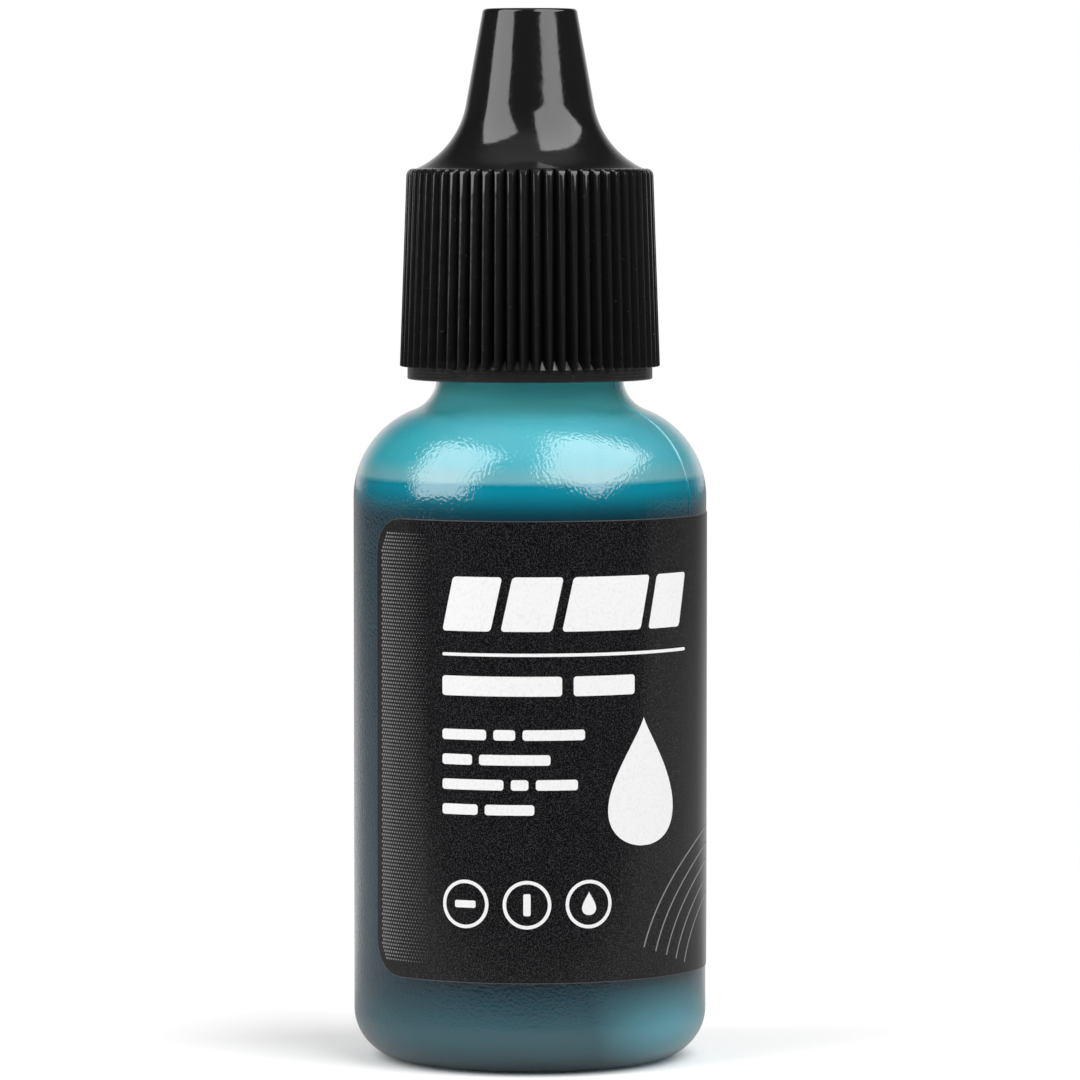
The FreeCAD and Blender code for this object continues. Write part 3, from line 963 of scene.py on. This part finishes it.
def natural_polyethylene():
    """Natural soft polyethylene: clear milky wall, paler at the neck as painted light against the cap's
    shade, with a faint orange peel from the mould that is shallowest where the wall turns into the
    shoulder."""
    colours, wall_top = settings().colours, settings().bottle.straight
    sockets = {"Transmission Weight": 1.0, "IOR": 1.54, "Coat Weight": 1.0, "Coat Roughness": 0.14}
    material, tree, shader = finish("natural_polyethylene", colours.plastic, 0.13, sockets)
    tree.links.new(ranged(tree, noise(tree, 900.0), 0.3, 0.7, 0.12, 0.18), shader.inputs["Roughness"])
    # Painted light: the plastic turns paler at the neck, under the cap's shade.
    plastic = mixed(tree, height_share(tree, *NECK_BLEND), colours.plastic, colours.painted_light_neck_plastic)
    tree.links.new(plastic, shader.inputs["Base Color"])
    above = height_share(tree, wall_top + 0.4 * MM, wall_top + 2.0 * MM)
    below = height_share(tree, wall_top, wall_top - 1.6 * MM)
    calm = ranged(tree, combined(tree, "MAXIMUM", above, below), 0.0, 1.0, 0.6, 1.0)
    peel = bumped(tree, shader, noise(tree, 5000.0, 0.5), 0.029 * MM)
    tree.links.new(calm, peel.inputs["Strength"])
    tree.links.new(peel.outputs["Normal"], shader.inputs["Coat Normal"])
    return material


def wetted_wall():
    """Teal liquid in a thin layer that clings to the wall: deeper and less red in random patches and
    towards the left, paler just over the level, and in the neck paler still as painted light against the
    cap's shade."""
    colours, body = settings().colours, settings().bottle.body_radius
    clear, level = colours.film, FILL_HIGH[2]
    # Deeper and less red; used towards the left and in random patches.
    thick = (0.45 * clear[0], 0.95 * clear[1], 0.95 * clear[2])
    rising = (1.8 * clear[0], clear[1], 0.96 * clear[2])
    material, tree, shader = finish("wetted_wall", clear, 0.5, MATT)
    left = ranged(tree, axis_of(tree, place_of(tree), "X"), -0.25 * body, -0.8 * body, 0.0, 0.8)
    patches = ranged(tree, noise(tree, 260.0), 0.3, 0.7, 0.0, 0.3)
    wall = mixed(tree, combined(tree, "ADD", left, patches), clear, thick)
    # Painted light: the lining turns brighter in the neck, under the cap's shade.
    wall = mixed(tree, height_share(tree, *NECK_BLEND), wall, colours.neck)
    wall = mixed(tree, height_share(tree, level + 1.5 * MM, level + 0.3 * MM), wall, rising)
    # Just over the level the lining takes the liquid's painted top-light colour.
    over = height_share(tree, level - 0.1 * MM, level + 0.3 * MM)
    tree.links.new(mixed(tree, over, colours.lube_painted_top_light, wall), shader.inputs["Base Color"])
    return material


def teal_lube():
    """Teal liquid with painted light: its colour is bright near its surface, where light would enter from
    above, and through the heel, most of all on the right, and dark between."""
    colours, body, level = settings().colours, settings().bottle.body_radius, FILL_HIGH[2]
    material, tree, shader = finish("teal_lube", colours.lube_deep, 0.3, MATT)
    # Painted light: the colour brightens towards the surface, where light would enter from above.
    near = height_share(tree, level - 3.2 * MM, level - 0.2 * MM)
    painted_top_light = mixed(tree, combined(tree, "MULTIPLY", near, near), colours.lube_deep, colours.lube_painted_top_light)
    # Painted light: the heel's colour lightens all round and most on the right, where light would pass
    # through the liquid.
    side = vector_math(tree, "DOT_PRODUCT", place_of(tree))
    side.inputs[1].default_value = (0.985, -0.17, 0.0)
    right = ranged(tree, side.outputs["Value"], 0.3 * body, 0.92 * body)
    glow = combined(tree, "MULTIPLY", right, height_share(tree, 7.2 * MM, 1.8 * MM))
    edge = ranged(tree, height_share(tree, 7.6 * MM, 1.0 * MM), 0.0, 1.0, 0.0, 0.22)
    heel = mixed(tree, combined(tree, "MAXIMUM", glow, edge), painted_top_light, colours.lube_painted_heel_glow)
    tree.links.new(heel, shader.inputs["Base Color"])
    return material


def black_cap():
    """Black polypropylene: glossy spout, satin ribs with fine dust, and ribs and mouth band made paler as
    painted light.
    """
    colours, sizes = settings().colours, settings().cap
    material, tree, shader = finish("black_cap", colours.cap, 0.2, {"IOR": 1.6})
    band_top = sizes.mouth + sizes.band_height
    band = height_share(tree, band_top + 0.02 * MM, band_top - 0.04 * MM)
    ribs = height_share(tree, sizes.rib_top + 0.3 * MM, sizes.rib_top - 0.2 * MM)
    grain = ranged(tree, noise(tree, 3000.0, 3.0), 0.35, 0.7)
    rough = tree.nodes.new("ShaderNodeMath")
    rough.operation = "MULTIPLY_ADD"
    tree.links.new(ribs, rough.inputs[0])
    rough.inputs[1].default_value = 0.03
    tree.links.new(ranged(tree, grain, 0.0, 1.0, 0.09, 0.14), rough.inputs[2])
    tree.links.new(rough.outputs["Value"], shader.inputs["Roughness"])
    # Painted light: the ribs and the band are made paler than the spout.
    plastic = mixed(tree, ribs, colours.cap, colours.cap_ribs_painted_light)
    plastic = mixed(tree, band, plastic, colours.cap_band_painted_light)
    specks = ranged(tree, noise(tree, 5200.0, 1.0), 0.74, 0.8, 0.0, 0.5)
    dusty = mixed(tree, combined(tree, "MULTIPLY", specks, ribs), plastic, grey(0.10))
    tree.links.new(dusty, shader.inputs["Base Color"])
    bumped(tree, shader, noise(tree, 450.0), 0.022 * MM)
    return material


def milky_polyethylene():
    """Milky polyethylene of the plug, with a little light under its skin."""
    sockets = {"Subsurface Weight": 0.4, "Subsurface Radius": grey(1.0), "Subsurface Scale": 0.6 * MM}
    material, tree, shader = finish("milky_polyethylene", settings().colours.plug, 0.38, sockets)
    tree.links.new(ranged(tree, noise(tree, 1500.0), 0.3, 0.7, 0.32, 0.44), shader.inputs["Roughness"])
    bumped(tree, shader, noise(tree, 2600.0), 0.004 * MM)
    return material


def satin_film():
    """Black satin label film with a fine light speckle in its colour: grain, and painted sparkle."""
    colours = settings().colours
    material, tree, shader = finish("satin_film", colours.label, 0.3, {"Specular IOR Level": 0.48})
    # Light specks in the colour: grain, and painted sparkle.
    speckle = ranged(tree, noise(tree, 11000.0), 0.40, 0.78)
    tree.links.new(mixed(tree, speckle, colours.label, colours.speckle), shader.inputs["Base Color"])
    tree.links.new(ranged(tree, noise(tree, 4000.0), 0.3, 0.7, 0.13, 0.18), shader.inputs["Roughness"])
    bumped(tree, shader, noise(tree, 7000.0), 0.004 * MM)
    return material


def ink(name, base):
    """Printed ink with a slight unevenness."""
    material, tree, shader = finish(name, base, 0.42)
    thin = tuple(0.92 * part for part in base)
    patches = ranged(tree, noise(tree, 5000.0), 0.45, 0.75)
    tree.links.new(mixed(tree, patches, base, thin), shader.inputs["Base Color"])
    return material


def soft_box(name, azimuth, lean, roll, reach, across, up):
    """A rectangular soft box on a plane at a reach from the bottle. The plane's normal stands at an azimuth
    and rises by the lean, the rectangle is rolled about it, and across and up give its edges from the foot
    of the normal. Power is pi times area times radiance."""
    light = bpy.data.lights.new(name, "AREA")
    light.shape = "RECTANGLE"
    light.size = across[1] - across[0]
    light.size_y = up[1] - up[0]
    light.energy = LAMP_RADIANCE * math.pi * light.size * light.size_y
    lean = math.radians(lean)
    outward = Vector(around(math.cos(lean), math.radians(azimuth), math.sin(lean)).tolist())
    facing = (-outward).to_track_quat("-Z", "Y") @ Quaternion((0.0, 0.0, 1.0), math.radians(roll))
    lamp = bpy.data.objects.new(name, light)
    middle = Vector((sum(across) / 2, sum(up) / 2, reach))
    lamp.location = LAMP_AIM + facing @ middle
    lamp.rotation_euler = facing.to_euler()
    bpy.context.scene.collection.objects.link(lamp)


def pale_floor():
    """White floor that keeps the bottle's shadow near it and turns to plain white further off. What it
    throws back at the bottle is dark in front, paler beside it and palest behind."""
    material, tree, shader = finish("pale_floor", grey(0.9), 0.7, MATT)
    place = place_of(tree)
    heading = vector_math(tree, "NORMALIZE", place).outputs["Vector"]
    away = vector_math(tree, "LENGTH", place).outputs["Value"]
    path = tree.nodes.new("ShaderNodeLightPath")
    beside = ranged(tree, axis_of(tree, place, "Y"), -0.082, -0.045)
    behind = ranged(tree, axis_of(tree, heading, "Y"), 0.7, 0.97)
    near = ranged(tree, away, 0.015, 0.035, 1.0, 0.0)
    thrown = mixed(tree, beside, grey(0.03), grey(0.27))
    thrown = mixed(tree, behind, thrown, grey(0.5))
    thrown = mixed(tree, near, thrown, grey(0.4))
    thrown = mixed(tree, path.outputs["Diffuse Depth"], thrown, grey(0.32))
    seen = mixed(tree, path.outputs["Is Camera Ray"], thrown, grey(0.92))
    tree.links.new(seen, shader.inputs["Base Color"])
    far = ranged(tree, away, 0.03, 0.14)
    white = tree.nodes.new("ShaderNodeEmission")
    blend = tree.nodes.new("ShaderNodeMixShader")
    plain = combined(tree, "MULTIPLY", far, path.outputs["Is Camera Ray"])
    tree.links.new(plain, blend.inputs["Fac"])
    tree.links.new(shader.outputs["BSDF"], blend.inputs[1])
    tree.links.new(white.outputs["Emission"], blend.inputs[2])
    tree.links.new(blend.outputs["Shader"], tree.nodes["Material Output"].inputs["Surface"])
    return material


def studio_world():
    """White to the camera, a dim fill on the bottle, and in reflections a pale wall behind it that fades
    upwards and a faint glow overhead."""
    world = bpy.data.worlds.new("studio")
    world.use_nodes = True
    tree = world.node_tree
    heading = place_of(tree, "Generated")
    behind = ranged(tree, axis_of(tree, heading, "Y"), 0.7, 0.97, 0.05, 0.75)
    low = ranged(tree, axis_of(tree, heading, "Z"), 0.05, 0.5, 1.0, 0.25)
    glow = ranged(tree, axis_of(tree, heading, "Z"), 0.75, 0.97, 0.0, 0.25)
    wall = combined(tree, "ADD", combined(tree, "MULTIPLY", behind, low), glow)
    path = tree.nodes.new("ShaderNodeLightPath")
    reflected = blended(tree, path.outputs["Diffuse Depth"], wall, 0.38)
    seen = blended(tree, path.outputs["Is Camera Ray"], reflected, 1.0)
    sky = tree.nodes["Background"]
    sky.inputs["Color"].default_value = (*grey(1.0), 1.0)
    tree.links.new(seen, sky.inputs["Strength"])
    bpy.context.scene.world = world


def floor_disc():
    """A flat disc of rings that widen outwards, just under the bottle's foot."""
    reach = np.array([3.0, 1.6, 0.8, 0.4, 0.2, 0.1, 0.05, 0.02])
    rings = around(reach[:, None], even_azimuths(FLOOR_COLUMNS)[None, :], -0.02 * MM).reshape(-1, 3)
    last_ring = np.arange(len(rings) - FLOOR_COLUMNS, len(rings))
    polygons = [grid_quads(len(reach), FLOOR_COLUMNS), fan(last_ring, len(rings), False)]
    return np.concatenate((rings, [[0.0, 0.0, -0.02 * MM]])), polygons


class BOTTLE_OT_stage(bpy.types.Operator):
    """Sets the floor, the lights, the world and the camera"""

    bl_idname = "dropper_bottle.stage"
    bl_label = "Stage"

    def execute(self, context):
        scene = context.scene
        floor = mesh_piece("floor", *floor_disc(), pale_floor())
        soft_box("soft_box_left", -69.1, 38.8, 7.9, 0.55, (-0.1765, 0.2727), (-0.3780, 0.2426))
        soft_box("soft_box_right", 65.7, 44.6, 32.7, 0.50, (-0.4032, 0.2440), (-0.1800, 0.3174))
        studio_world()
        camera = bpy.data.cameras.new("camera")
        camera.sensor_width = 36.0
        camera.lens = 223.4
        eye = bpy.data.objects.new("camera", camera)
        aim = Vector((0.0007, 0.0, 0.0360))
        eye.location = Vector((0.0007, -0.465, 0.0640))
        eye.rotation_euler = (aim - eye.location).to_track_quat("-Z", "Y").to_euler()
        scene.collection.objects.link(eye)
        scene.camera = eye
        scene.view_settings.view_transform = "Standard"
        return {"FINISHED"}


class BOTTLE_PT_pieces(bpy.types.Panel):
    """Lists the bottle's pieces and settings"""

    bl_idname = "BOTTLE_PT_pieces"
    bl_label = "Dropper bottle"
    bl_space_type = "VIEW_3D"
    bl_region_type = "UI"
    bl_category = "Bottle"

    def draw(self, context):
        layout = self.layout
        for operator in OPERATORS:
            layout.operator(operator.bl_idname)
        for group in ("bottle", "plug", "cap", "label", "colours"):
            values = getattr(context.scene.dropper_bottle, group)
            box = layout.box()
            box.label(text=group.capitalize())
            for name in values.__annotations__:
                box.prop(values, name)


OPERATORS = (
    BOTTLE_OT_stage,
    BOTTLE_OT_bottle,
    BOTTLE_OT_liquid,
    BOTTLE_OT_plug,
    BOTTLE_OT_cap,
    BOTTLE_OT_label,
)
GROUPS = (BottleSizes, PlugSizes, CapSizes, LabelSizes, FinishColours, BottleSettings)
CLASSES = (*GROUPS, *OPERATORS, BOTTLE_PT_pieces)


def register():
    for cls in CLASSES:
        bpy.utils.register_class(cls)
    bpy.types.Scene.dropper_bottle = PointerProperty(type=BottleSettings)


def unregister():
    del bpy.types.Scene.dropper_bottle
    for cls in reversed(CLASSES):
        bpy.utils.unregister_class(cls)


def main():
    register()
    bpy.ops.dropper_bottle.stage()
    bpy.ops.dropper_bottle.bottle()
    bpy.ops.dropper_bottle.liquid()
    bpy.ops.dropper_bottle.plug()
    bpy.ops.dropper_bottle.cap()
    bpy.ops.dropper_bottle.label()


if __name__ == "__main__":
    main()
